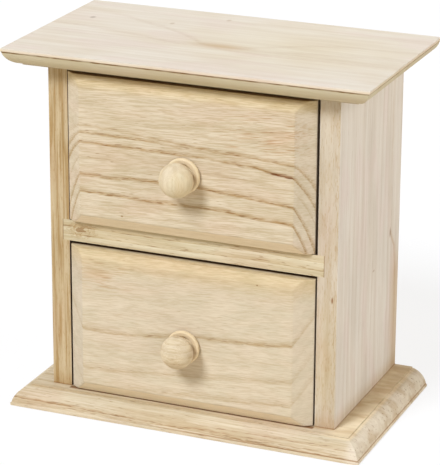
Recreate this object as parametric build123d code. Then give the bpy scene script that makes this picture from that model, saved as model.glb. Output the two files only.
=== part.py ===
from build123d import *
import math
import os

# A small two-drawer chest in bare wood. Millimetres, Z up, the front faces -Y.
# The origin is the middle of the base board's underside.

# Body between the boards
body_width = 146.0
body_depth = 88.4
side_thickness = 10.0
lower_opening = 75.0
upper_opening = 75.7
divider_thickness = 10.5
housing_depth = 3.5
back_thickness = 3.0
rebate_width = 5.0
corner_softening = 0.5
opening_softening = 0.3

# Top and base boards, moulded on the front and both sides, square at the back
top_side_overhang = 17.9
base_side_overhang = 16.9
front_overhang = 13.8
base_thickness = 9.5
top_thickness = 8.8
lip_height = 1.5
lip_step = 0.45
round_width = 7.4
round_bulge = 1.6
inner_step = 0.5
lip_softening = 0.4

# Fixings of the body
dowel_diameter = 5.0
dowel_in_top = 6.0
dowel_in_side = 10.0
dowel_spacing = 50.0
dowel_chamfer = 0.6
base_screw_diameter = 3.5
base_screw_head = 6.8
base_screw_length = 25.0
base_screw_spacing = 56.0
base_screw_sink = 0.3
back_pin_length = 12.0
back_pin_margin = 15.0
back_pins_per_side = 4

# Pins of the body and of the drawers
pin_diameter = 1.2
pin_head_diameter = 2.4
pin_head_thickness = 0.5

# Drawer fronts: a raised field with four bevels of one slope
drawer_side_gap = 0.8
drawer_floor_gap = 0.3
lower_top_gap = 1.6
upper_top_gap = 2.3
upper_shift = -0.5
front_thickness = 15.0
field_raise = 6.5
end_bevel = 8.7
bottom_bevel = 5.5
upper_top_bevel = 4.6
lower_top_bevel = 3.7
field_softening = 1.8
edge_softening = 0.45

# Drawer boxes
box_side_thickness = 5.0
box_back_thickness = 5.0
box_drop = 7.0
front_lip = 3.0
drawer_back_gap = 0.5
bottom_thickness = 3.0
groove_depth = 2.5
groove_height = 4.0
groove_slack = 0.2
drawer_pin_length = 12.0
drawer_pin_margin = 14.0
bottom_pin_length = 10.0
bottom_pin_spacing = 64.0

# Turned knobs; the two heads differ a little, as hand-turned ones do
upper_knob_drop = 4.75
lower_knob_drop = 4.05
upper_knob_shift = -0.4
lower_knob_shift = -0.7
upper_flange_diameter = 17.2
lower_flange_diameter = 16.6
flange_thickness = 2.6
flange_softening = 1.1
rim_width = 2.2
cove_depth = 1.1
neck_diameter = 8.0
neck_length = 1.3
upper_head_diameter = 16.6
lower_head_diameter = 16.0
head_flatness = 0.9
belly_share = 0.66
knob_screw_diameter = 3.0
knob_screw_head = 6.0
knob_screw_head_height = 2.0
knob_screw_reach = 10.0

# Cross recess in the screw heads
recess_width = 0.8
recess_share_of_head = 0.6
recess_depth = 1.1
screw_tip_length = 4.0

# Places that follow from the sizes
board_depth = body_depth + front_overhang
board_front = -board_depth / 2
board_back = board_depth / 2
body_front = board_front + front_overhang
body_back = board_back
body_middle = (body_front + body_back) / 2
inner_half = body_width / 2 - side_thickness
divider_bottom = base_thickness + lower_opening
divider_top = divider_bottom + divider_thickness
body_top = divider_top + upper_opening
cabinet_height = body_top + top_thickness
back_face = body_back - back_thickness
side_middle = body_width / 2 - side_thickness / 2
drawer_half = inner_half - drawer_side_gap
field_y = body_front - field_raise
front_back_y = field_y + front_thickness
box_front_y = body_front + front_lip
box_back_y = back_face - drawer_back_gap
bevel_slope = field_raise / end_bevel


def block(x_range, y_range, z_range):
    """A box between pairs of coordinates."""
    spans = [high - low for low, high in (x_range, y_range, z_range)]
    middles = [(low + high) / 2 for low, high in (x_range, y_range, z_range)]
    return Pos(*middles) * Box(*spans)


def moulded_edge(thickness):
    """Outline of a moulded edge, from the foot of the lip inwards and up to the flat."""
    step_x = lip_step + round_width
    step_z = thickness - inner_step
    lip = Polyline((0, 0), (0, lip_height), (lip_step, lip_height))
    quarter_round = SagittaArc((lip_step, lip_height), (step_x, step_z), round_bulge)
    return lip + quarter_round + Line((step_x, step_z), (step_x, thickness))


def moulded_section(span, thickness, both_edges):
    """Section across a board with its lip at the bottom, moulded on one edge or on both."""
    near = Pos(-span / 2, 0) * moulded_edge(thickness)
    inset = span / 2 - lip_step - round_width
    if both_edges:
        far = mirror(near, about=Plane.YZ)
        face = make_face(near + far + Line((-inset, thickness), (inset, thickness))
                         + Line((-span / 2, 0), (span / 2, 0)))
    else:
        square = Polyline((-inset, thickness), (span / 2, thickness), (span / 2, 0), (-span / 2, 0))
        face = make_face(near + square)
    lip_corners = [
        corner for corner in face.vertices()
        if corner.Y < lip_height + lip_step and abs(corner.X) > span / 2 - lip_step / 2
        and (both_edges or corner.X < 0)
    ]
    return fillet(lip_corners, min(lip_softening, lip_height * 0.45))


def moulded_board(width, thickness):
    """Board with its lip at the bottom: two sections crossing give the mitred corners."""
    across = Plane.XZ * moulded_section(width, thickness, True)
    along = Plane.YZ * moulded_section(board_depth, thickness, False)
    return extrude(across, board_depth / 2, both=True) & extrude(along, width / 2, both=True)


def pin(length):
    """A panel pin along -Z with its flat head flush with Z = 0."""
    shank = Pos(0, 0, -length / 2) * Cylinder(pin_diameter / 2, length)
    head = Pos(0, 0, -pin_head_thickness / 2) * Cylinder(pin_head_diameter / 2, pin_head_thickness)
    return shank + head


def tapered_shank(diameter, length):
    """Screw shank along -Z from Z = 0, ending in a point."""
    straight = length - screw_tip_length
    shank = Pos(0, 0, -straight / 2) * Cylinder(diameter / 2, straight)
    tip = Pos(0, 0, -straight - screw_tip_length / 2) * Cone(diameter * 0.1, diameter / 2, screw_tip_length)
    return shank + tip


def cross_recess(head_diameter):
    """Cross-shaped recess that is cut down from Z = 0."""
    arm = head_diameter * recess_share_of_head
    bars = Box(arm, recess_width, recess_depth) + Box(recess_width, arm, recess_depth)
    return Pos(0, 0, -recess_depth / 2) * bars


def countersunk_screw():
    """Base screw along -Z with the top of its head at Z = 0, before the recess is cut."""
    head_depth = (base_screw_head - base_screw_diameter) / 2
    head = Pos(0, 0, -head_depth / 2) * Cone(base_screw_diameter / 2, base_screw_head / 2, head_depth)
    return head + tapered_shank(base_screw_diameter, base_screw_length)


def pan_head_screw():
    """Knob screw along -Z with the underside of its head at Z = 0."""
    head = Pos(0, 0, knob_screw_head_height / 2) * Cylinder(knob_screw_head / 2, knob_screw_head_height)
    rim = head.edges().group_by(Axis.Z)[-1]
    head = fillet(rim, min(0.8, knob_screw_head_height * 0.45))
    return head + tapered_shank(knob_screw_diameter, front_thickness + knob_screw_reach)


def pair_places(spacing):
    """Front and rear places over the middle of both side panels."""
    return [(side * side_middle, body_middle + end * spacing / 2) for side in (-1, 1) for end in (-1, 1)]


def top_dowels():
    """Dowels that stand half in the side panels and half in the top board."""
    length = dowel_in_top + dowel_in_side
    dowel = Cylinder(dowel_diameter / 2, length)
    dowel = chamfer(dowel.edges().filter_by(GeomType.CIRCLE), dowel_chamfer)
    centre_z = body_top + (dowel_in_top - dowel_in_side) / 2
    return [Pos(x, y, centre_z) * dowel for x, y in pair_places(dowel_spacing)]


def base_screw_places():
    """Locations of the screws that come up through the base board."""
    return [Pos(x, y, base_screw_sink) * Rot(180, 0, 0) for x, y in pair_places(base_screw_spacing)]


def back_pin_places():
    """Locations of the pins that go through the back panel into the side panels' rebates."""
    reach = body_top - base_thickness - 2 * back_pin_margin
    gap = reach / (back_pins_per_side - 1)
    heights = [base_thickness + back_pin_margin + gap * step for step in range(back_pins_per_side)]
    x = inner_half + rebate_width / 2
    return [Pos(side * x, body_back, z) * Rot(-90, 0, 0) for side in (-1, 1) for z in heights]


def cut_all(piece, tools):
    """The piece less each of the tools."""
    for tool in tools:
        piece -= tool
    return piece


def side_panel(side, tools):
    """Side panel (side is -1 left or 1 right) with its housing, rebate and fixing holes."""
    inner, outer = side * inner_half, side * body_width / 2
    panel = block(sorted((inner, outer)), (body_front, body_back), (base_thickness, body_top))
    upright = panel.edges().filter_by(Axis.Z)
    outer_edges = [edge for edge in upright if abs(edge.center().X - outer) < side_thickness / 2]
    panel = fillet(outer_edges, corner_softening)
    inner_edges = [edge for edge in panel.edges().filter_by(Axis.Z) if abs(edge.center().X - inner) < 0.01]
    panel = fillet(ShapeList(inner_edges).sort_by(Axis.Y)[0], opening_softening)
    housing_x = sorted((inner, inner + side * housing_depth))
    panel -= block(housing_x, (body_front, back_face), (divider_bottom, divider_top))
    rebate_x = sorted((inner, inner + side * rebate_width))
    panel -= block(rebate_x, (back_face, body_back), (base_thickness, body_top))
    return cut_all(panel, tools)


def carcass():
    """The fixed pieces: boards, panels, divider and their fixings."""
    dowels = top_dowels()
    over_head = Pos(0, 0, base_screw_sink / 2) * Cylinder(base_screw_head / 2, base_screw_sink)
    screws = [place * (countersunk_screw() + over_head) for place in base_screw_places()]
    pins = [place * pin(back_pin_length) for place in back_pin_places()]
    recess = cross_recess(base_screw_head)
    finished_screws = [place * (countersunk_screw() - recess) for place in base_screw_places()]
    half_back = inner_half + rebate_width
    half_divider = inner_half + housing_depth
    top_board = moulded_board(body_width + 2 * top_side_overhang, top_thickness)
    base_board = moulded_board(body_width + 2 * base_side_overhang, base_thickness)
    top = Pos(0, 0, cabinet_height) * mirror(top_board, about=Plane.XY)
    back = block((-half_back, half_back), (back_face, body_back), (base_thickness, body_top))
    divider = block((-half_divider, half_divider), (body_front, back_face), (divider_bottom, divider_top))
    return {
        "top_board": cut_all(top, dowels),
        "base_board": cut_all(base_board, screws),
        "left_side_panel": side_panel(-1, dowels[:2] + screws[:2] + pins[:back_pins_per_side]),
        "right_side_panel": side_panel(1, dowels[2:] + screws[2:] + pins[back_pins_per_side:]),
        "divider_shelf": divider,
        "back_panel": cut_all(back, pins),
        "top_dowels": Compound(children=dowels),
        "base_screws": Compound(children=finished_screws),
        "back_panel_pins": Compound(children=pins),
    }


def raised_front(bottom_z, top_z, top_bevel):
    """Drawer front: a plan outline and an end outline crossing give the mitred bevels."""
    width = 2 * drawer_half
    height = top_z - bottom_z
    middle_z = (top_z + bottom_z) / 2
    end_edge_y = body_front
    top_edge_y = field_y + top_bevel * bevel_slope
    bottom_edge_y = field_y + bottom_bevel * bevel_slope
    plan = Polyline(
        (-width / 2, front_back_y), (-width / 2, end_edge_y), (-width / 2 + end_bevel, field_y),
        (width / 2 - end_bevel, field_y), (width / 2, end_edge_y), (width / 2, front_back_y), close=True,
    )
    profile = Polyline(
        (front_back_y, bottom_z), (bottom_edge_y, bottom_z), (field_y, bottom_z + bottom_bevel),
        (field_y, top_z - top_bevel), (top_edge_y, top_z), (front_back_y, top_z), close=True,
    )
    slab = Pos(0, 0, bottom_z) * extrude(make_face(plan), height)
    front = slab & extrude(Plane.YZ * make_face(profile), width, both=True)
    field = front.faces().sort_by(Axis.Y)[0]
    corners = [corner.center() for corner in field.vertices()]
    ridges = [edge for edge in front.edges()
              if any((end.center() - corner).length < 0.001 for end in edge.vertices() for corner in corners)]
    front = fillet(ridges, field_softening)
    rim = [edge for edge in front.edges()
           if edge.center().Y < front_back_y - 0.1 and edge.length > height / 2
           and (abs(edge.center().X) > width / 2 - 0.1 or abs(edge.center().Z - middle_z) > height / 2 - 0.1)]
    return fillet(rim, edge_softening)


def turned_knob(flange_diameter, head_diameter):
    """Knob turned about Z: flange on Z = 0, cove round the neck, then a slightly flattened ball."""
    head_radius = head_diameter / 2
    head_rise = head_radius * head_flatness
    neck_radius = neck_diameter / 2
    flange_radius = flange_diameter / 2
    cove_radius = flange_radius - rim_width
    belly_radius = head_rise * belly_share
    belly_x = head_radius - belly_radius
    crown_radius = (belly_x ** 2 + head_rise ** 2 - belly_radius ** 2) / (2 * (head_rise - belly_radius))
    neck_top = flange_thickness + neck_length
    head_z = neck_top + math.sqrt(belly_radius ** 2 - (neck_radius - belly_x) ** 2)
    crown_z = head_z + head_rise - crown_radius
    start = -math.degrees(math.acos((neck_radius - belly_x) / belly_radius))
    join = math.degrees(math.atan2(head_z - crown_z, belly_x))
    foot = Polyline(
        (0, head_z + head_rise), (0, 0), (flange_radius, 0), (flange_radius, flange_thickness),
        (cove_radius, flange_thickness),
    )
    cove = SagittaArc((cove_radius, flange_thickness), (neck_radius, flange_thickness), cove_depth)
    neck = Line((neck_radius, flange_thickness), (neck_radius, neck_top))
    belly = CenterArc((belly_x, head_z), belly_radius, start, join - start)
    crown = CenterArc((0, crown_z), crown_radius, join, 90 - join)
    face = make_face(foot + cove + neck + belly + crown)
    rim = [corner for corner in face.vertices() if corner.X > flange_radius - 0.1 and corner.Y < neck_top]
    face = fillet(rim, min(flange_softening, flange_thickness * 0.45))
    return revolve(Plane.XZ * face, Axis.Z)


def drawer_pin_places(bottom_z, side_top):
    """Locations of the pins through the box sides into the front and the back."""
    places = []
    for side in (-1, 1):
        for y in ((box_front_y + front_back_y) / 2, box_back_y - box_back_thickness / 2):
            for z in (bottom_z + drawer_pin_margin, side_top - drawer_pin_margin):
                places.append(Pos(side * drawer_half, y, z) * Rot(0, side * 90, 0))
    return places


def drawer(name, shift, opening_bottom, opening_height, top_gap, top_bevel, knob_place, knob_shape):
    """All the pieces of one drawer; knob_place is its shift and drop, knob_shape its two diameters."""
    bottom_z = opening_bottom + drawer_floor_gap
    top_z = opening_bottom + opening_height - top_gap
    side_top = top_z - box_drop
    inside = drawer_half - box_side_thickness
    groove_z = (bottom_z + groove_height, bottom_z + groove_height + bottom_thickness)
    knob_x, knob_drop = knob_place
    knob_z = (bottom_z + top_z) / 2 - knob_drop
    panel_half = inside + groove_depth - groove_slack
    panel_front = front_back_y - groove_depth + groove_slack

    side_pins = [place * pin(drawer_pin_length) for place in drawer_pin_places(bottom_z, side_top)]
    under_back = box_back_y - box_back_thickness / 2
    bottom_pins = [
        Pos(end * bottom_pin_spacing / 2, under_back, groove_z[0]) * Rot(180, 0, 0) * pin(bottom_pin_length)
        for end in (-1, 1)
    ]
    pins = side_pins + bottom_pins
    screw_place = Pos(knob_x, front_back_y, knob_z) * Rot(-90, 0, 0)
    screw_recess = Pos(0, 0, knob_screw_head_height) * cross_recess(knob_screw_head)
    screw = screw_place * pan_head_screw()

    groove = block((-inside - groove_depth, inside + groove_depth),
                   (front_back_y - groove_depth, box_back_y), groove_z)
    front = raised_front(bottom_z, top_z, top_bevel)
    for side in (-1, 1):
        shoulder = sorted((side * inside, side * drawer_half))
        front -= block(shoulder, (box_front_y, front_back_y), (bottom_z, top_z))
    front = cut_all(front, [groove, screw] + side_pins)

    def box_side(side):
        x_range = sorted((side * inside, side * drawer_half))
        plank = block(x_range, (box_front_y, box_back_y), (bottom_z, side_top))
        return cut_all(plank, [groove] + side_pins)

    back = block((-inside, inside), (box_back_y - box_back_thickness, box_back_y), (groove_z[1], side_top))
    bottom = block((-panel_half, panel_half), (panel_front, box_back_y), groove_z)
    knob = Pos(knob_x, field_y, knob_z) * Rot(90, 0, 0) * turned_knob(*knob_shape) - screw
    place = Pos(shift, 0, 0)
    return {
        name + "_front": place * front,
        name + "_left_side": place * box_side(-1),
        name + "_right_side": place * box_side(1),
        name + "_back": place * cut_all(back, pins),
        name + "_bottom": place * cut_all(bottom, bottom_pins),
        name + "_knob": place * knob,
        name + "_knob_screw": place * screw_place * (pan_head_screw() - screw_recess),
        name + "_pins": Compound(children=[place * item for item in pins]),
    }


pieces = carcass()
pieces.update(drawer("lower_drawer", 0, base_thickness, lower_opening, lower_top_gap, lower_top_bevel,
                     (lower_knob_shift, lower_knob_drop), (lower_flange_diameter, lower_head_diameter)))
pieces.update(drawer("upper_drawer", upper_shift, divider_top, upper_opening, upper_top_gap, upper_top_bevel,
                     (upper_knob_shift, upper_knob_drop), (upper_flange_diameter, upper_head_diameter)))

os.makedirs("parts", exist_ok=True)
for node, shape in pieces.items():
    export_step(shape, f"parts/{node}.step")
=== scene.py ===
import bpy
from math import cos, pi, radians, sin
from mathutils import Matrix, Vector


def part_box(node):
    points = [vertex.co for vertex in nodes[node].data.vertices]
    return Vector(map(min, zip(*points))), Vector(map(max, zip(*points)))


# The look of a small two-drawer chest in bare wood. Metres, Z up, the front faces -Y.
# Wood patterns are worked out in millimetres.

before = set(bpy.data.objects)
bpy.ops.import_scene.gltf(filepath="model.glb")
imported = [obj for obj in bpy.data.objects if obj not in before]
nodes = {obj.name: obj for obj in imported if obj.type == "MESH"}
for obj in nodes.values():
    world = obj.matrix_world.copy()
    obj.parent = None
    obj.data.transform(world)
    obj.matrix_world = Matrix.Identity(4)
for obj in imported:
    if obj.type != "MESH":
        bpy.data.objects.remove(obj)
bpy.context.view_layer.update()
print("frame loaded:", len(nodes), "pieces")

# Places on the fixed pieces, in millimetres
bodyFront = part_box("divider_shelf")[0][1] * 1000
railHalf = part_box("divider_shelf")[1][0] * 1000
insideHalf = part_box("right_side_panel")[0][0] * 1000
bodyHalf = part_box("right_side_panel")[1][0] * 1000
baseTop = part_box("base_board")[1][2] * 1000
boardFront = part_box("base_board")[0][1] * 1000
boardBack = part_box("base_board")[1][1] * 1000
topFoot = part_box("top_board")[0][2] * 1000
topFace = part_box("top_board")[1][2] * 1000
lipHeight = 1.5
fieldY = bodyFront - 6.5   # the fronts' raised fields stand 6.5 before the body
flangeFace = fieldY - 2.6   # the knobs' flanges are 2.6 thick

view = {
    "lens": 190.03,
    "azimuth": 22.488,
    "elevation": 19.32,
    "roll": 0.301,
    "distance": 1.18989,
    "target": (-0.003651, 0.0069, 0.082475),
}


def setCamera():
    azimuth, elevation, roll = (radians(view[key]) for key in ("azimuth", "elevation", "roll"))
    back = Vector((sin(azimuth) * cos(elevation), -cos(azimuth) * cos(elevation), sin(elevation)))
    bpy.ops.object.camera_add()
    camera = bpy.context.object
    camera.name = "camera"
    camera.data.lens = view["lens"]
    camera.data.sensor_width = 36
    camera.data.clip_start = 0.05
    camera.data.clip_end = 60
    turn = (Matrix.Rotation(azimuth, 4, "Z") @ Matrix.Rotation(pi / 2 - elevation, 4, "X")
            @ Matrix.Rotation(roll, 4, "Z"))
    camera.matrix_world = Matrix.Translation(Vector(view["target"]) + back * view["distance"]) @ turn
    bpy.context.scene.camera = camera


lamps = {
    "key": {"from": (-0.225, -0.67, 0.70), "spread": 19, "level": 0.835, "tint": (0.98, 1.04, 1.16)},
    "frontFill": {"from": (0.1, -0.99, 0.06), "spread": 80, "level": 0.04, "tint": (1.0, 0.9, 0.74)},
    "rightFill": {"from": (0.96, -0.17, 0.26), "spread": 70, "level": 0.49, "tint": (1.0, 1.005, 1.02)},
    "leftFill": {"from": (-0.95, 0.10, 0.2), "spread": 70, "level": 0.26, "tint": (1.0, 1.0, 1.0)},
    "rearFill": {"from": (0.15, 0.97, 0.2), "spread": 70, "level": 0.42, "tint": (1.0, 1.0, 1.0)},
}
sky = {"level": 0.185, "tint": (1.0, 0.86, 0.66, 1)}
floorBounce = (0.85, 0.76, 0.63, 1)
floorShading = 0.20   # how much of the object's shadow the floor shows


def addLamp(name, lamp):
    towards = Vector(lamp["from"]).normalized()
    bpy.ops.object.light_add(type="SUN", location=towards * 1.5)
    light = bpy.context.object
    light.name = name + "Lamp"
    light.rotation_euler = towards.to_track_quat("Z", "Y").to_euler()
    light.data.angle = radians(lamp["spread"])
    light.data.color = lamp["tint"]
    light.data.energy = lamp["level"] * pi   # level 1 shows a colour that faces the lamp as it is written


def tone(red, green, blue):
    straight = [((c / 255 + 0.055) / 1.055) ** 2.4 if c > 10 else c / 255 / 12.92 for c in (red, green, blue)]
    return (*straight, 1.0)


class Wire:
    # one output of a node, so that patterns can be added and multiplied as numbers
    def __init__(self, sheet, socket):
        self.sheet = sheet
        self.socket = socket

    def other(self, output):
        return Wire(self.sheet, self.socket.node.outputs[output])

    def maths(self, operation, first, second=None):
        values = {0: first} if second is None else {0: first, 1: second}
        return self.sheet.add("Math", {"operation": operation}, values)

    def __add__(self, other):
        return self.maths("ADD", self, other)

    def __radd__(self, other):
        return self.maths("ADD", other, self)

    def __sub__(self, other):
        return self.maths("SUBTRACT", self, other)

    def __rsub__(self, other):
        return self.maths("SUBTRACT", other, self)

    def __mul__(self, other):
        return self.maths("MULTIPLY", self, other)

    def __rmul__(self, other):
        return self.maths("MULTIPLY", other, self)

    def __truediv__(self, other):
        return self.maths("DIVIDE", self, other)

    def __pow__(self, other):
        return self.maths("POWER", self, other)

    def __abs__(self):
        return self.maths("ABSOLUTE", self)

    def most(self, other):
        return self.maths("MAXIMUM", self, other)

    def least(self, other):
        return self.maths("MINIMUM", self, other)

    def rest(self):
        return self.maths("FRACT", self)

    def rise(self, low, high):
        return self.sheet.add("MapRange", {"interpolation_type": "SMOOTHSTEP"},
                              {"Value": self, "From Min": low, "From Max": high})


class Sheet:
    # the node tree of one finish
    def __init__(self, tree):
        self.tree = tree
        tree.nodes.clear()

    def add(self, kind, settings=None, inputs=None, output=0):
        made = self.tree.nodes.new("ShaderNode" + kind)
        for key, value in (settings or {}).items():
            if key == "stops":
                ramp = made.color_ramp.elements
                ramp.remove(ramp[1])
                for index, (place, colour) in enumerate(value):
                    stop = ramp[0] if index == 0 else ramp.new(place)
                    stop.position = place
                    stop.color = (*colour, 1.0)
            else:
                setattr(made, key, value)
        for key, value in (inputs or {}).items():
            if isinstance(value, Wire):
                self.tree.links.new(value.socket, made.inputs[key])
            else:
                made.inputs[key].default_value = value
        return Wire(self, made.outputs[output]) if made.outputs else None

    def vector(self, operation, first, second=None, output=0):
        values = {0: first} if second is None else {0: first, 1: second}
        return self.add("VectorMath", {"operation": operation}, values, output)

    def split(self, vector):
        axes = self.add("SeparateXYZ", {}, {0: vector})
        return axes, axes.other(1), axes.other(2)

    def noise(self, vector, sizes, detail=2.0, roughness=0.5, output=0):
        # sizes are how long one blotch of the noise is along each axis
        scaled = self.vector("MULTIPLY", vector, tuple(1 / size for size in sizes))
        values = {"Vector": scaled, "Scale": 1.0, "Detail": detail, "Roughness": roughness}
        return self.add("TexNoise", {}, values, output)

    def blend(self, mask, first, second, mode="MIX"):
        return self.add("Mix", {"data_type": "RGBA", "blend_type": mode}, {0: mask, 6: first, 7: second}, 2)

    def shade(self, colour, mask, tint):
        return self.blend(mask, colour, tint, "MULTIPLY")

    def seen(self):
        # 1 for rays that show a thing itself, 0 for those that only light others
        rays = ("Is Camera Ray", "Is Glossy Ray", "Is Transmission Ray")
        camera, mirror, glass = (self.add("LightPath", output=name) for name in rays)
        return camera.most(mirror).most(glass)

    def finish(self, colour, rough, height, bump, reach, **sockets):
        relief = self.add("Bump", {}, {"Strength": bump, "Distance": reach, "Height": height})
        values = {"Base Color": colour, "Roughness": rough, "Normal": relief}
        for name, value in sockets.items():
            values[name.replace("_", " ")] = value
        shader = self.add("BsdfPrincipled", {}, values)
        self.add("OutputMaterial", {}, {"Surface": shader})


def newFinish(name):
    material = bpy.data.materials.new(name)
    material.use_nodes = True
    return material, Sheet(material.node_tree)


turns = {"X": (0, 0, 0), "Y": (0, 0, -pi / 2), "Z": (0, pi / 2, 0)}   # brings the grain onto the first axis
grainWay = {"X": (1, 0, 0), "Y": (0, 1, 0), "Z": (0, 0, 1)}


class Board:
    # where a point lies on one board: its place in mm, its distances along and across the grain,
    # and how the grain drifts there
    def __init__(self, sheet, look):
        self.sheet = sheet
        spot = sheet.add("TexCoord", output="Object")
        self.facing = spot.other("Normal")
        self.place = sheet.vector("MULTIPLY", spot, (1000, 1000, 1000))
        self.x, self.y, self.z = sheet.split(self.place)
        turned = sheet.add("Mapping", {"vector_type": "POINT"},
                           {"Vector": self.place, "Rotation": turns[look["grain"]]})
        self.along, self.second, self.third = sheet.split(turned)
        lean = (0, radians(look["lean"]), 0)
        leaning = sheet.add("Mapping", {"vector_type": "POINT"},
                            {"Vector": turned, "Rotation": lean, "Location": look["seed"]})
        drift = sheet.noise(leaning, (60, 24, 24), 1.0, 0.5, 1)
        drift = sheet.vector("SUBTRACT", drift, (0.5, 0.5, 0.5))
        drift = sheet.vector("MULTIPLY", drift, (0, 2 * look["wander"], 2 * look["wander"]))
        self.still = leaning
        self.flow = sheet.vector("ADD", leaning, drift)
        self.wander = sheet.split(drift)[1]
        self.wobble = sheet.noise(leaning, (5, 6, 6), 1.0, 0.5) - 0.5
        self.strands = sheet.noise(self.flow, (4.5, 0.6, 0.38), 1.0, 0.5).rise(0.38, 0.58)

    def spot(self, centre, radii, edge=0.5):
        # soft round mask, 1 at its centre
        away = self.sheet.vector("SUBTRACT", self.place, centre)
        away = self.sheet.vector("MULTIPLY", away, tuple(1 / radius for radius in radii))
        return self.sheet.vector("LENGTH", away, output=1).rise(1.0, edge)

    def line(self, along, across, points, under, over, spread=1):
        # growth line through points (along, across, strength), sharp on its under side
        # and soft on its over side
        low, high = points[0][0], points[-1][0]
        heights = [point[1] for point in points]
        base, span = min(heights) - 1, max(heights) - min(heights) + 2
        stops = [((place - low) / (high - low), ((height - base) / span, strength, 0))
                 for place, height, strength in points]
        drawn = self.sheet.add("ValToRGB", {"stops": stops}, {0: (along - low) / (high - low)})
        height = self.sheet.add("SeparateColor", {}, {0: drawn})
        gap = (across + self.wobble * 0.9 - (height * span + base)) / spread
        mask = (gap / under + 1).least(1 - gap / over).most(0)
        return mask * height.other(1) * (self.strands * 0.55 + 0.45)

    def strongest(self, along, across, drawn, spread=1):
        masks = [self.line(along, across, *curve, spread) for curve in drawn]
        both = masks[0]
        for mask in masks[1:]:
            both = both.most(mask)
        return both

    def towards(self, way):
        # 1 where a face looks straight along a direction, -1 where it looks straight back
        return self.sheet.vector("DOT_PRODUCT", self.facing, way, 1)

    def faces(self, way, low, high):
        return self.towards(way).rise(low, high)


def woodFinish(name, look):
    material, sheet = newFinish(name)
    board = Board(sheet, look)
    fibre = sheet.noise(board.flow, look["fibreSize"], 2.0, 0.6)
    streak = sheet.noise(board.flow, (75, 3.2, 3.2), 2.0, 0.55)
    vessels = sheet.noise(board.flow, (5.5, 0.42, 0.42), 1.0, 0.4)
    patch = sheet.noise(board.still, look["patchSize"], 1.0, 0.5)
    blotches = sheet.split(sheet.noise(board.still, (30, 12, 12), 0.0, 0.5, 1))

    lines = look["rings"](board)
    pores = (vessels + lines * look["poreBand"]).rise(look["poreLevel"], look["poreLevel"] + 0.09)

    ends = abs(board.towards(grainWay[look["grain"]]))
    calm = 1 - ends.rise(0.3, 0.8) * 0.6   # fine grain shows less on cut ends
    colour = sheet.blend(patch.rise(0.36, 0.64), look["pale"], look["cloudy"])
    colour = sheet.blend(blotches[2].rise(0.50, 0.72) * look["blush"], colour, look["rosy"])
    colour = sheet.shade(colour, fibre.rise(0.62, 0.36) * calm * look["fibre"], look["fibreTint"])
    colour = sheet.shade(colour, streak.rise(0.60, 0.38) * look["streak"], look["streakTint"])
    colour = sheet.shade(colour, (lines * 1.25).least(1) * look["line"], look["lineTint"])
    colour = sheet.shade(colour, pores * calm * look["pore"], look["poreTint"])
    colour = sheet.shade(colour, ends.rise(0.35, 0.95) * look["endShade"], look["endTint"])
    for mark in look["marks"]:
        colour = mark(board, colour, lines)

    height = fibre * 0.5 + streak * 0.3 - pores * 0.9 - lines * 0.12
    rough = fibre * 0.10 + pores * 0.08 + (look["rough"] - 0.05)
    sheet.finish(colour, rough, height, look["bump"], 0.00012, IOR=1.46, Specular_IOR_Level=0.2)
    return material


plainWood = {
    "grain": "X", "seed": (0, 0, 0), "wander": 1.4, "lean": 0.0, "patchSize": (42, 17, 17),
    "pale": tone(222, 206, 178), "cloudy": tone(216, 201, 173), "rosy": tone(220, 197, 169), "blush": 0.5,
    "fibre": 0.55, "fibreTint": tone(232, 224, 210), "fibreSize": (16, 0.55, 0.55),
    "streak": 0.5, "streakTint": tone(234, 226, 212),
    "line": 0.6, "lineTint": tone(214, 194, 164),
    "pore": 0.6, "poreTint": tone(180, 150, 118), "poreBand": 0.22, "poreLevel": 0.68,
    "endShade": 0.5, "endTint": tone(240, 238, 240),
    "bump": 0.35, "rough": 0.68, "marks": (),
}


def looksLike(**changes):
    return {**plainWood, **changes}


def sawnRings(period, slope=(0.0, 1.0), tilt=0.0, fade=3.0, strength=0.5):
    # flat growth rings that cross the board at a slant
    def pattern(board):
        ring = board.along * tilt + board.second * slope[0] + board.third * slope[1] + board.wander
        return ((1 - (ring / period).rest()) ** fade) * strength
    return pattern


def stain(centre, radii, tint, strength=1.0, edge=0.3):
    # a soft blotch of another tint
    def mark(board, colour, lines):
        return board.sheet.shade(colour, board.spot(centre, radii, edge) * strength, tint)
    return mark


def paintedGapShade(shade, faces, reach=9):
    # painted shade in the gaps around an opening: darkest at the front, gone further in
    def mark(board, colour, lines):
        within = board.y.rise(bodyFront - 1.0, bodyFront + 0.3)
        fade = (1 - board.y.rise(bodyFront, bodyFront + reach)) * within
        return board.sheet.shade(colour, faces(board) * fade, shade)
    return mark


def band(height, low, high, soft):
    # 1 between two heights
    return height.rise(low - soft, low + soft) * height.rise(high + soft, high - soft)


# colours of the painted shade in the gaps round the drawers: inside the openings, and on the fronts' edges
openingShade = tone(66, 30, 12)
frontEdgeShade = tone(112, 66, 34)


# The fronts: their growth lines are set out on the face, and go back into the wood at a slant


def onBevel(board):
    # growth lines look wider where the bevel cuts them at a slant
    return (board.y - fieldY).most(0) * 0.07 + 1


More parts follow.
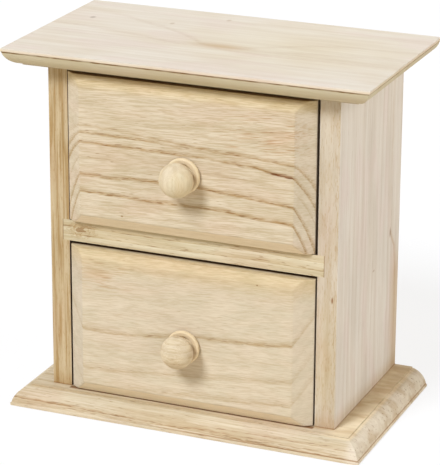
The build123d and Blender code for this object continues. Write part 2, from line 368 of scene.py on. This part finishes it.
def upperRings(board):
    # the lines lie steeper in the thickness further down
    slant = 8.05 - board.z * 0.05
    across = board.z + (board.y - fieldY) * slant + board.wander * 0.3
    drawn = [
        ([(-62, 145.6, 0.2), (-50, 145.2, 0.5), (-25, 143.3, 0.45), (-7, 142.0, 0.6), (15, 140.2, 0.8),
          (35, 139.4, 0.75), (50, 138.4, 0.8), (62, 137.4, 0.6)], 0.7, 1.9),
        ([(-62, 141.4, 0.7), (-38, 141.3, 0.95), (-22, 141.2, 0.9), (-8, 140.4, 0.5), (10, 139.3, 0.3),
          (30, 138.2, 0.0)], 0.7, 1.9),
        ([(-62, 137.0, 0.9), (-53, 136.8, 0.9), (-13, 136.4, 0.85), (8, 136.8, 0.75), (24, 135.6, 0.8),
          (35, 135.0, 0.95), (43, 133.2, 1.0), (53, 132.2, 1.0), (62, 131.0, 0.6)], 0.8, 2.0),
        ([(-62, 130.0, 0.35), (-45, 129.6, 0.45), (-30, 130.0, 0.0), (18, 129.0, 0.3), (50, 126.0, 0.3)],
         0.5, 1.6),
        ([(-62, 120.9, 0.8), (-38, 120.6, 0.85), (-24, 121.5, 1.0), (8, 121.6, 0.85), (20, 120.6, 0.9),
          (37, 119.4, 0.9), (53, 118.1, 0.9), (62, 117.0, 0.8)], 0.8, 2.2),
        ([(-62, 113.4, 0.75), (-50, 112.6, 0.85), (-19, 112.0, 0.8), (17, 112.2, 0.85), (37, 110.6, 0.95),
          (53, 109.7, 1.0), (62, 108.2, 0.9)], 0.9, 2.3),
        ([(-62, 105.0, 0.1), (-20, 103.8, 0.25), (30, 103.2, 0.1), (62, 101.0, 0.1)], 0.5, 2.0),
    ]
    return board.strongest(board.x, across, drawn, onBevel(board))


def redGrain(centre, radii, rise, strength):
    # a patch of dense fine reddish grain that rises a few degrees to the right
    def mark(board, colour, lines):
        sheet = board.sheet
        leaning = sheet.add("Mapping", {"vector_type": "POINT"},
                            {"Vector": board.place, "Rotation": (0, radians(rise), 0)})
        grain = sheet.noise(leaning, (11, 2, 0.42), 1.0, 0.55).rise(0.55, 0.66)
        area = board.spot((centre[0], fieldY, centre[1]), (radii[0], 20, radii[1]), 0.35)
        return sheet.shade(colour, grain * area * strength, tone(222, 186, 150))
    return mark


def emberLine(board, colour, lines):
    # the stretch of the middle line that has gone red-brown
    near = board.spot((47, fieldY, 132.8), (9.5, 6, 1.7), 0.5)
    return board.sheet.shade(colour, near * lines, tone(168, 112, 78))


def paintedBevelLight(strength):
    # painted light: the downward-facing bottom bevel is painted paler than the rest, as if lit from below
    def mark(board, colour, lines):
        return board.sheet.blend(board.faces((0, 0, -1), 0.45, 0.72) * strength, colour, tone(245, 227, 192))
    return mark


def paintedBevelShade(way, tint):
    # painted shade: the end bevel that faces one way is a little darker and greyer
    def mark(board, colour, lines):
        return board.sheet.shade(colour, board.faces(way, 0.3, 0.6) * 0.4, tint)
    return mark


def uprightEdges(board):
    # the two upright edges, where shade is painted from half a millimetre inside the opening
    inside = board.y.rise(bodyFront + 0.5, bodyFront + 1.5)
    return abs(board.towards((1, 0, 0))).rise(0.9, 0.97) * inside


def warmTopAndGapShade(low, high, tint, front, back, strength):
    # yellower along the top of a front, partly the wood's tone and partly painted warm shade under the top
    # board, and brown painted shade on its top edge between two depths behind the body's front, where the gap
    # is
    def mark(board, colour, lines):
        sheet = board.sheet
        colour = sheet.shade(colour, board.z.rise(low, high), tint)
        edge = board.faces((0, 0, 1), 0.9, 0.97) * band(board.y, bodyFront + front, bodyFront + back, 0.6)
        return sheet.shade(colour, edge * strength, tone(150, 104, 62))
    return mark


def lowerRings(board):
    across = board.z - (board.y - fieldY) * 2.0 + board.wander * 0.3
    drawn = [
        ([(-62, 75.5, 0.1), (-30, 76.5, 0.3), (10, 77.0, 0.2), (62, 80.0, 0.1)], 0.8, 2.4),
        ([(-62, 66.0, 0.2), (0, 68.0, 0.15), (62, 73.0, 0.25)], 0.8, 2.6),
        ([(-62, 43.9, 0.8), (-52, 43.3, 0.6), (-44, 42.8, 0.75), (-32, 43.0, 0.6), (-22, 44.0, 0.7),
          (-12, 45.2, 0.8), (7, 47.7, 0.7), (18, 47.5, 0.9), (30, 48.4, 1.0), (41, 48.9, 1.0),
          (50, 50.1, 0.9), (62, 51.5, 0.9)], 1.1, 2.6),
        ([(-62, 24.0, 0.3), (-50, 23.3, 0.5), (-41, 23.0, 0.6), (-22, 25.2, 0.5), (24, 29.0, 0.4),
          (35, 30.2, 0.45), (62, 33.0, 0.5)], 1.1, 3.4),
        ([(-62, 33.0, 0.15), (0, 36.5, 0.2), (62, 41.5, 0.2)], 0.8, 2.6),
        ([(-42, 14.6, 0.4), (-10, 16.5, 0.45), (20, 18.0, 0.55), (62, 21.0, 0.6)], 0.9, 3.4),
    ]
    faint = 1 - board.y.rise(fieldY + 0.2, fieldY + 1.5) * 0.45   # they fade on the bevels
    return board.strongest(board.x, across, drawn, onBevel(board)) * faint


drawerFronts = {
    "upper_drawer_front": looksLike(
        seed=(3, 77, 15), lean=2.5, wander=0.9, rings=upperRings, line=0.82, lineTint=tone(206, 179, 130),
        pale=tone(217, 204, 180), cloudy=tone(210, 197, 171), rosy=tone(214, 195, 171), patchSize=(17, 8, 6),
        fibre=0.9, fibreSize=(8, 1.8, 0.34), endShade=0.7, endTint=tone(240, 243, 250), pore=0.55,
        poreTint=tone(180, 148, 104), poreBand=0.25, poreLevel=0.70, streak=0.3,
        marks=[redGrain((38, 150), (34, 17), 7, 0.75), paintedBevelShade((1, 0, 0), tone(240, 240, 243)),
               paintedBevelLight(0.75), paintedGapShade(frontEdgeShade, uprightEdges, 4.5),
               warmTopAndGapShade(160, 167, tone(249, 241, 218), -3.3, 0.5, 0.7), emberLine,
               stain((-32.4, fieldY, 102.8), (0.9, 3, 0.6), tone(200, 180, 150)),
               stain((47, fieldY, 150), (14, 8, 9), tone(252, 243, 238), 0.8, 0.0)]),
    "lower_drawer_front": looksLike(
        seed=(64, 21, 48), lean=3.0, wander=0.9, rings=lowerRings, line=0.66, lineTint=tone(211, 187, 144),
        pale=tone(214, 201, 177), cloudy=tone(208, 196, 171), rosy=tone(212, 195, 172), blush=0.35,
        patchSize=(15, 6, 5), fibre=0.65, fibreSize=(6, 1.8, 0.34), endShade=0.7,
        endTint=tone(240, 243, 250), pore=0.4, poreLevel=0.72, streak=0.15,
        marks=[redGrain((-42, 71), (22, 12), 3, 0.5), paintedBevelShade((-1, 0, 0), tone(243, 242, 245)),
               paintedBevelLight(0.75), paintedGapShade(frontEdgeShade, uprightEdges, 4.5),
               warmTopAndGapShade(70, 82, tone(250, 242, 222), 1.1, 4.3, 0.8),
               stain((36, fieldY, 78.4), (0.6, 3, 0.5), tone(190, 168, 138)),
               stain((-46, fieldY, 72), (13, 8, 5), tone(250, 238, 226), 0.9, 0.0)]),
}

# The moulded boards


def topRings(board):
    # faint lines that run together at a small knot in the middle and fan out again
    across = board.y + (board.z - topFace) * 0.8 + board.wander * 0.6
    drawn = [
        ([(-90, 36.0, 0.2), (-61, 27.7, 0.6), (-48, 19.8, 0.75), (-36, 15.2, 0.8), (-24, 7.7, 0.8),
          (-15, 0.6, 0.9), (-9, -5.7, 0.8), (0, -7.3, 0.4)], 2.2, 4.0),
        ([(-91, 4.3, 0.6), (-74, 2.7, 0.6), (-54, -0.7, 0.6), (-38, -4.0, 0.8), (-27, -8.2, 0.9),
          (-18, -9.8, 0.9), (-4, -8.2, 0.5)], 2.2, 4.2),
        ([(10, -6.0, 0.3), (17, -3.2, 0.8), (26, 1.8, 0.7), (36, 7.7, 0.7), (47, 12.7, 0.6), (59, 16.0, 0.5),
          (91, 17.7, 0.5)], 2.8, 2.8),
        ([(14, -10.0, 0.4), (22, -9.0, 0.7), (36, -5.7, 0.7), (51, -2.3, 0.6), (67, 0.2, 0.7),
          (91, 1.0, 0.7)], 2.4, 4.0),
        ([(0, -10.0, 0.5), (12, -12.3, 0.8), (29, -14.0, 0.8), (51, -13.0, 0.8), (91, -11.5, 0.7)], 2.4, 4.4),
        ([(-91, 47.0, 0.3), (-60, 42.0, 0.3), (-30, 33.0, 0.2), (0, 22.0, 0.0), (30, 27.0, 0.2),
          (60, 36.0, 0.3), (91, 40.0, 0.3)], 2.4, 4.4),
        ([(-91, -22.0, 0.2), (-30, -25.0, 0.3), (20, -27.0, 0.3), (91, -24.0, 0.2)], 2.2, 5.0),
        ([(-91, -38.0, 0.2), (0, -40.0, 0.25), (91, -37.0, 0.2)], 2.2, 5.0),
    ]
    return board.strongest(board.x, across, drawn)


def topMoulding(board, colour, lines):
    # the round below the lip is darker and duller, painted shade where it turns down, and the lip's edge
    # warmer, with a thin brown line of painted shade in the crease between them, except at the back
    sheet = board.sheet
    lipFoot = topFace - lipHeight
    colour = sheet.shade(colour, board.z.rise(lipFoot + 0.2, lipFoot - 0.6) * 0.8, tone(225, 223, 199))
    creaseShade = band(board.z, lipFoot - 0.7, lipFoot + 0.02, 0.12) * (board.wobble * 1.5 + 0.7)
    creaseShade = creaseShade * board.y.rise(boardBack - 0.1, boardBack - 0.5)
    edge = board.z.rise(topFace - 0.3, topFace - 0.6) * board.z.rise(lipFoot - 0.1, lipFoot + 0.1)
    colour = sheet.shade(colour, edge * 0.6, tone(250, 240, 222))
    return sheet.shade(colour, creaseShade.least(1).most(0), tone(166, 138, 100))


def topUnderside(board):
    # the part of its underside that roofs the upper opening, where shade is painted
    return board.faces((0, 0, -1), 0.8, 0.95) * abs(board.x).rise(insideHalf + 0.9, insideHalf - 0.2)


def baseRings(board):
    # brown lines low on the front round, broad bands on the right-hand end, faint grain elsewhere
    across = board.z + (board.y - boardFront) * 0.3 + board.wander * 0.25
    low = [
        ([(-90, 4.6, 0.8), (-60, 4.2, 0.9), (-20, 3.6, 0.7), (10, 3.0, 0.4), (30, 2.7, 0.9), (50, 2.2, 1.0),
          (70, 1.9, 0.6), (90, 1.8, 0.6)], 0.5, 1.3),
        ([(-90, 2.4, 0.3), (-60, 2.9, 0.5), (-20, 2.4, 0.6), (10, 4.4, 0.8), (30, 4.0, 0.5), (60, 3.4, 0.6),
          (90, 3.0, 0.3)], 0.5, 1.4),
        ([(-90, 6.4, 0.2), (0, 6.0, 0.3), (40, 6.3, 0.6), (90, 5.6, 0.5)], 0.4, 1.2),
    ]
    fine = (1 - ((board.y * 0.9 + board.z + board.wander * 1.5) / 3.4).rest()) ** 2.0
    fine = fine * (board.wobble * 0.5 + 0.16) * (1 - board.x.rise(55, 70) * 0.7)
    broad = abs(((board.y + board.wander * 2.6 + board.wobble * 3) / 9.0).rest() - 0.5).rise(0.05, 0.45)
    broad = broad * board.x.rise(58, 76) * board.x.rise(90, 80) * board.y.rise(-34, -6)
    broad = broad * (board.wobble + 0.2)
    return board.strongest(board.x, across, low).most(fine).most(broad)


def baseEnd(board, colour, lines):
    # a greyer right-hand end with brown flecks, a yellower top with clouds beside the panel, partly painted
    # light where the body shades it, and painted shade: brown lines under the drawer's foot, in the crease
    # over the lip and beside the panel
    sheet = board.sheet
    ends = board.x.rise(81, 86)
    colour = sheet.blend(ends * 0.45, colour, tone(232, 222, 206))
    flecks = sheet.noise(board.place, (1.3, 1.6, 1.1), 2.0, 0.6).rise(0.60, 0.74)
    colour = sheet.shade(colour, flecks * ends * 0.8, tone(176, 140, 104))
    top = board.faces((0, 0, 1), 0.9, 0.97)
    colour = sheet.blend(top * board.x.rise(66, 76) * 0.5, colour, tone(246, 226, 188))
    clouds = sheet.noise(board.flow, (15, 8, 5), 2.0, 0.5).rise(0.44, 0.66) * board.x.rise(64, 76)
    colour = sheet.shade(colour, clouds * board.y.rise(-50, -30) * 0.45, tone(214, 190, 156))
    footShade = top * band(board.y, bodyFront - 2.9, bodyFront - 0.3, 0.5)
    footShade = footShade * abs(board.x).rise(insideHalf + 0.6, insideHalf - 0.4)
    colour = sheet.shade(colour, footShade * 0.85, tone(152, 106, 58))
    creaseShade = band(board.z, lipHeight - 0.02, lipHeight + 0.5, 0.15) * board.x.rise(-50, 20)
    creaseShade = creaseShade * board.y.rise(boardBack - 0.1, boardBack - 0.5)
    colour = sheet.shade(colour, creaseShade * 0.7, tone(190, 156, 116))
    jointShade = abs(board.x).rise(bodyHalf + 6.5, bodyHalf + 0.5) * board.y.rise(-40, -30)
    jointShade = jointShade * board.z.rise(baseTop - 0.5, baseTop - 0.1)
    return sheet.shade(colour, jointShade * 0.1, tone(228, 208, 176))


mouldedBoards = {
    "top_board": looksLike(
        seed=(11, 40, 5), rings=topRings, wander=0.8, patchSize=(34, 15, 15),
        pale=tone(225, 216, 201), cloudy=tone(222, 211, 193), rosy=tone(223, 209, 196), blush=0.6,
        fibre=0.16, streak=0.25, pore=0.08, line=0.34, lineTint=tone(228, 212, 196), endShade=0.3,
        marks=[topMoulding, paintedGapShade(openingShade, topUnderside),
               stain((35, 5, topFace), (85, 60, 9), tone(252, 250, 240), 0.9, 0.0),
               stain((3, -6.6, topFace), (22, 8, 9), tone(232, 213, 188), 0.8, 0.0),
               stain((-76.3, 19.3, topFace), (1.9, 2.6, 2), tone(213, 206, 202), 0.9),
               stain((-36, 23.5, topFace), (1.6, 2.2, 2), tone(230, 219, 208), 0.8),
               stain((-13, 39.7, topFace), (1.6, 2.4, 2), tone(232, 221, 211), 0.8)]),
    "base_board": looksLike(
        seed=(52, 3, 19), rings=baseRings, line=0.85, lineTint=tone(204, 174, 134), streak=0.8, pore=0.6,
        pale=tone(213, 199, 172), cloudy=tone(207, 194, 167), rosy=tone(208, 188, 163), endShade=0.0,
        marks=[baseEnd]),
}

# The body


def rearKnot(board, colour, lines):
    # a little knot at the rear of the right panel, with a tan line that bends down from it
    sheet = board.sheet
    points = [(-84.5, 36.8, 0.3), (-80, 39.5, 0.9), (-75, 43.2, 0.8), (-63, 45.2, 0.6), (-44, 46.2, 0.5),
              (-20, 45.4, 0.2)]
    bend = board.line(-1 * board.z, board.y, points, 1.4, 2.6)
    colour = sheet.shade(colour, bend, tone(224, 202, 172))
    strip = board.y.rise(36, 46) * board.z.rise(78, 58)
    colour = sheet.shade(colour, strip * 0.7, tone(236, 218, 192))
    knot = board.spot((bodyHalf, 37.2, 83.4), (3, 1.9, 3.4), 0.2)
    return sheet.shade(colour, knot * 0.8, tone(196, 178, 158))


def railKnot(board, colour, lines):
    # curly grain around a small knot at the left end of the rail
    sheet = board.sheet
    away = sheet.vector("SUBTRACT", board.place, (-57.2, bodyFront, 90.2))
    away = sheet.vector("MULTIPLY", away, (1 / 7.5, 1 / 8, 1 / 4.0))
    curl = sheet.vector("SUBTRACT", sheet.noise(board.place, (3.2, 4, 2.2), 2.0, 0.6, 1), (0.5, 0.5, 0.5))
    away = sheet.vector("ADD", away, sheet.vector("MULTIPLY", curl, (1.3, 0, 1.3)))
    radius = sheet.vector("LENGTH", away, output=1)
    rings = ((radius * 3.0).rest() ** 1.4) * radius.rise(1.35, 0.6)
    colour = sheet.shade(colour, rings * 0.8, tone(212, 184, 144))
    return sheet.shade(colour, radius.rise(0.42, 0.12) * 0.7, tone(184, 150, 112))


def stileGrain(edge, streaks, streakSize):
    # yellower front edge with brown flecks along the grain, densest near the right-hand corner
    def mark(board, colour, lines):
        sheet = board.sheet
        front = board.faces((0, -1, 0), 0.6, 0.9)
        colour = sheet.shade(colour, front, edge)
        flecks = sheet.noise(board.place, (0.45, 2, 3.4), 2.0, 0.6) + board.x.rise(66, bodyHalf) * 0.05
        colour = sheet.shade(colour, flecks.rise(0.56, 0.68) * front * 0.5, tone(226, 204, 172))
        broad = sheet.noise(board.place, streakSize, 2.0, 0.5).rise(0.42, 0.62)
        return sheet.shade(colour, broad * front, streaks)
    return mark


def openingSides(board):
    # the inner faces of the two side panels, where shade is painted
    inward = abs(board.towards((1, 0, 0))).rise(0.8, 0.95)
    return inward * abs(board.x).rise(insideHalf + 0.9, insideHalf + 0.5)


def shelfFaces(board):
    return abs(board.towards((0, 0, 1))).rise(0.8, 0.95)


def bodyJointShade(board, colour, lines):
    # painted shade: warmer and darker towards the base, with a thin brown line where the panel meets the base
    # and the top
    sheet = board.sheet
    colour = sheet.shade(colour, board.z.rise(baseTop + 9.5, baseTop + 0.5) * 0.6, tone(238, 222, 198))
    jointShade = board.z.rise(baseTop + 0.8, baseTop + 0.2).most(board.z.rise(topFoot - 1.1, topFoot - 0.1))
    return sheet.shade(colour, jointShade * 0.8, tone(206, 176, 140))


def housingJoint(board, colour, lines):
    # the hair-wide dark joint around the ends of the rail, where it is let into the panels
    ends = abs(board.x).rise(railHalf - 0.5, railHalf - 0.1) * board.faces((0, -1, 0), 0.6, 0.9)
    return board.sheet.shade(colour, ends * 0.9, tone(176, 144, 108))


bodyBoards = {
    "left_side_panel": looksLike(
        grain="Z", seed=(7, 31, 2), rings=sawnRings(7.0, (0.8, 0.3), 0.0, 3.0, 0.4),
        lineTint=tone(226, 208, 184), streak=0.45,
        pale=tone(222, 209, 188), cloudy=tone(216, 203, 182), rosy=tone(220, 202, 182),
        pore=0.25, fibre=0.3,
        marks=[stileGrain(tone(231, 223, 201), tone(228, 214, 188), (0.9, 4, 30)),
               paintedGapShade(openingShade, openingSides), bodyJointShade]),
    "right_side_panel": looksLike(
        grain="Z", seed=(80, 14, 33), rings=sawnRings(5.0, (0.9, 0.2), 0.0, 3.0, 0.3), streak=0.42,
        streakTint=tone(236, 229, 220), lineTint=tone(228, 216, 204), pore=0.18, fibre=0.22,
        pale=tone(223, 217, 208), cloudy=tone(218, 212, 203), rosy=tone(222, 211, 204), blush=0.7,
        marks=[rearKnot, stileGrain(tone(236, 229, 214), tone(250, 246, 240), (2.5, 4, 14)), bodyJointShade,
               paintedGapShade(openingShade, openingSides),
               stain((bodyHalf, 13.7, 71.5), (3, 2.0, 0.7), tone(226, 214, 204)),
               stain((70.6, bodyFront, 73.8), (0.6, 3, 2.2), tone(190, 150, 118)),
               stain((68.5, bodyFront, 42), (9, 3, 46), tone(251, 247, 234), 1.0, 0.0)]),
    "divider_shelf": looksLike(
        seed=(23, 9, 71), rings=sawnRings(4.0, (0.15, 0.98), 0.0, 2.0, 0.6), line=0.7,
        lineTint=tone(222, 202, 166),
        pale=tone(220, 210, 183), cloudy=tone(212, 203, 175), rosy=tone(216, 199, 173),
        streak=0.7, marks=[railKnot, housingJoint, paintedGapShade(openingShade, shelfFaces)]),
}

# The drawer boxes: thinner, paler stock, straight from the saw


def sawMarks(board, colour, lines):
    # faint upright ripples that a saw leaves across the grain
    ripple = ((board.along + board.wander * 2) / 2.3).rest().rise(0.2, 0.9)
    return board.sheet.shade(colour, ripple * 0.35, tone(240, 234, 224))


def boxBoard(grain, seed, rings):
    return looksLike(
        grain=grain, seed=seed, rings=rings, pale=tone(224, 210, 184), cloudy=tone(218, 203, 175),
        rosy=tone(219, 199, 172), lineTint=tone(226, 208, 178), pore=0.5, bump=0.6, rough=0.78,
        marks=[sawMarks])


drawerBoxes = {
    "upper_drawer_left_side": boxBoard("Y", (4, 8, 61), sawnRings(5.5, (0.3, 0.9))),
    "upper_drawer_right_side": boxBoard("Y", (44, 18, 1), sawnRings(6.5, (0.2, 0.95))),
    "upper_drawer_back": boxBoard("X", (14, 68, 31), sawnRings(6.0, (0.5, 0.8), 0.02)),
    "lower_drawer_left_side": boxBoard("Y", (71, 2, 13), sawnRings(4.8, (0.4, 0.9))),
    "lower_drawer_right_side": boxBoard("Y", (24, 58, 37), sawnRings(6.1, (0.1, 0.98))),
    "lower_drawer_back": boxBoard("X", (36, 6, 90), sawnRings(5.2, (0.3, 0.95), -0.02)),
}

# Knobs and dowels


def turningLines(board, colour, lines):
    # the hair-fine rings that the turning tool leaves round the knob
    ring = (board.y / 0.45).rest().rise(0.3, 0.95)
    return board.sheet.shade(colour, ring * 0.18, tone(232, 222, 206))


def flangeWarmthAndShade(board, colour, lines):
    # the flange is yellower, with painted shade where it meets the front and in the hollow at the neck
    sheet = board.sheet
    flange = board.y.rise(flangeFace - 0.6, flangeFace)
    colour = sheet.blend(flange * 0.45, colour, tone(238, 216, 174))
    neckShade = band(board.y, flangeFace - 2.0, flangeFace - 0.2, 0.35)
    footShade = board.y.rise(fieldY - 0.8, fieldY - 0.1)
    return sheet.shade(colour, neckShade.most(footShade), tone(184, 148, 108))


knobs = {
    "upper_drawer_knob": looksLike(
        grain="Z", seed=(5, 5, 91), rings=sawnRings(4.5, (0.7, 0.7), 0.0, 2.0, 0.15), pore=0.15, fibre=0.25,
        pale=tone(223, 209, 177), cloudy=tone(219, 207, 177), rosy=tone(219, 202, 177), patchSize=(14, 5, 5),
        endShade=0.2, marks=[turningLines, flangeWarmthAndShade]),
    "lower_drawer_knob": looksLike(
        seed=(35, 15, 8), rings=sawnRings(2.8, (0.1, 0.95), 0.0, 2.0, 0.4), pore=0.35,
        pale=tone(219, 205, 176), cloudy=tone(211, 196, 168), rosy=tone(213, 195, 172), patchSize=(14, 5, 5),
        endShade=0.2, marks=[turningLines, flangeWarmthAndShade,
                             stain((4.2, fieldY - 10.7, 49.6), (0.5, 4, 1.4), tone(150, 118, 84))]),
}
smallWood = {
    "top_dowels": looksLike(grain="Z", seed=(17, 27, 7), rings=sawnRings(1.6, (0.4, 0.9)),
                            pale=tone(214, 190, 150), cloudy=tone(206, 181, 141), rosy=tone(206, 176, 142)),
}

plywood = {"sheet": tone(224, 207, 177), "darker": tone(214, 194, 160), "figure": tone(212, 188, 152),
           "glue": tone(132, 98, 66), "core": tone(196, 168, 130), "ply": 1.0}


def plywoodFinish(name, thinAxis, firstFace):
    # peeled face with a broad wavy figure, and three plies with dark glue lines at its edges
    material, sheet = newFinish(name)
    board = Board(sheet, looksLike(seed=(31, 5, 12), wander=2.5))
    through, across = (board.y, board.z) if thinAxis == "Y" else (board.z, board.y)
    depth = through - firstFace
    swell = sheet.noise(board.still, (55, 14, 14), 1.0, 0.45)
    figure = abs((swell * 7 + across / 22).rest() - 0.5).rise(0.5, 0.15)
    fibre = sheet.noise(board.flow, (20, 0.6, 0.6), 2.0, 0.6)
    pores = sheet.noise(board.flow, (4.0, 0.4, 0.4), 1.0, 0.4).rise(0.66, 0.74)
    colour = sheet.blend(swell.rise(0.35, 0.65), plywood["sheet"], plywood["darker"])
    colour = sheet.blend(figure * 0.55, colour, plywood["figure"])
    colour = sheet.shade(colour, fibre.rise(0.62, 0.36) * 0.45, tone(230, 219, 200))
    colour = sheet.shade(colour, pores * 0.6, tone(190, 160, 124))
    layer = (depth / plywood["ply"]).rest()
    edge = 1 - abs(board.towards(grainWay[thinAxis])).rise(0.3, 0.7)
    core = (abs(depth - 1.5 * plywood["ply"]) / plywood["ply"]).rise(0.52, 0.46)
    colour = sheet.blend(core * edge, colour, plywood["core"])
    glue = abs(layer - 0.5).rise(0.42, 0.49) * edge
    colour = sheet.blend(glue * 0.7, colour, plywood["glue"])
    height = fibre * 0.5 + figure * 0.2 - pores * 0.8 - glue
    sheet.finish(colour, fibre * 0.1 + 0.68, height, 0.5, 0.00012, IOR=1.46)
    return material


steel = {
    "base_screws": {"colour": tone(188, 186, 176), "stain": tone(150, 140, 120), "rough": 0.34},
    "upper_drawer_knob_screw": {"colour": tone(190, 187, 176), "stain": tone(156, 146, 124), "rough": 0.32},
    "lower_drawer_knob_screw": {"colour": tone(184, 182, 173), "stain": tone(148, 138, 120), "rough": 0.36},
    "back_panel_pins": {"colour": tone(176, 176, 172), "stain": tone(120, 112, 100), "rough": 0.38},
    "upper_drawer_pins": {"colour": tone(174, 174, 171), "stain": tone(118, 110, 100), "rough": 0.38},
    "lower_drawer_pins": {"colour": tone(172, 172, 168), "stain": tone(122, 112, 98), "rough": 0.40},
}


def steelFinish(name, metal):
    # zinc-bright steel with a fine drawn grain and a little tarnish
    material, sheet = newFinish(name)
    place = sheet.vector("MULTIPLY", sheet.add("TexCoord", output="Object"), (1000, 1000, 1000))
    tarnish = sheet.noise(place, (3.2, 3.2, 3.2), 3.0, 0.6)
    grain = sheet.noise(place, (0.12, 0.12, 1.4), 2.0, 0.6)
    colour = sheet.blend(tarnish.rise(0.48, 0.75) * 0.6, metal["colour"], metal["stain"])
    colour = sheet.shade(colour, grain.rise(0.6, 0.4) * 0.25, tone(215, 212, 205))
    rough = tarnish * 0.22 + grain * 0.12 + (metal["rough"] - 0.15)
    sheet.finish(colour, rough, grain + tarnish * 0.5, 0.25, 0.00005, Metallic=1.0)
    return material


def dress(node, material):
    slots = nodes[node].data.materials
    slots.clear()
    slots.append(material)


def plainStage():
    bpy.ops.object.select_all(action="DESELECT")
    bpy.ops.mesh.primitive_plane_add(size=12, location=(0, 0, -0.0002))
    floor = bpy.context.object
    floor.name = "studio_floor"
    material, sheet = newFinish("studioFloor")
    white = sheet.add("Emission", {}, {"Color": (1, 1, 1, 1), "Strength": 1.0})
    shaded = sheet.add("BsdfDiffuse", {}, {"Color": (0.98, 0.98, 0.98, 1)})
    plain = sheet.add("BsdfDiffuse", {}, {"Color": floorBounce})
    shown = sheet.add("MixShader", {}, {0: floorShading, 1: white, 2: shaded})
    both = sheet.add("MixShader", {}, {0: sheet.seen(), 1: plain, 2: shown})
    sheet.add("OutputMaterial", {}, {"Surface": both})
    floor.data.materials.append(material)

    world = bpy.data.worlds.new("studio")
    world.use_nodes = True
    bpy.context.scene.world = world
    sheet = Sheet(world.node_tree)
    light = sheet.add("Background", {}, {"Color": sky["tint"], "Strength": sky["level"]})
    white = sheet.add("Background", {}, {"Color": (1, 1, 1, 1), "Strength": 1.0})
    both = sheet.add("MixShader", {}, {0: sheet.seen(), 1: light, 2: white})
    sheet.add("OutputWorld", {}, {"Surface": both})


bpy.context.scene.view_settings.view_transform = "Standard"
setCamera()
for lampName, lamp in lamps.items():
    addLamp(lampName, lamp)
plainStage()
print("stage ready")

for group in (drawerFronts, mouldedBoards, bodyBoards, drawerBoxes, knobs, smallWood):
    for node, look in group.items():
        dress(node, woodFinish(node + "Wood", look))
print("wood ready")

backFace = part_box("back_panel")[0][1] * 1000
dress("back_panel", plywoodFinish("backPlywood", "Y", backFace))
for drawer in ("upper_drawer", "lower_drawer"):
    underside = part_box(drawer + "_bottom")[0][2] * 1000
    dress(drawer + "_bottom", plywoodFinish(drawer + "Plywood", "Z", underside))
for node, metal in steel.items():
    dress(node, steelFinish(node + "Steel", metal))
print("plywood and steel ready")
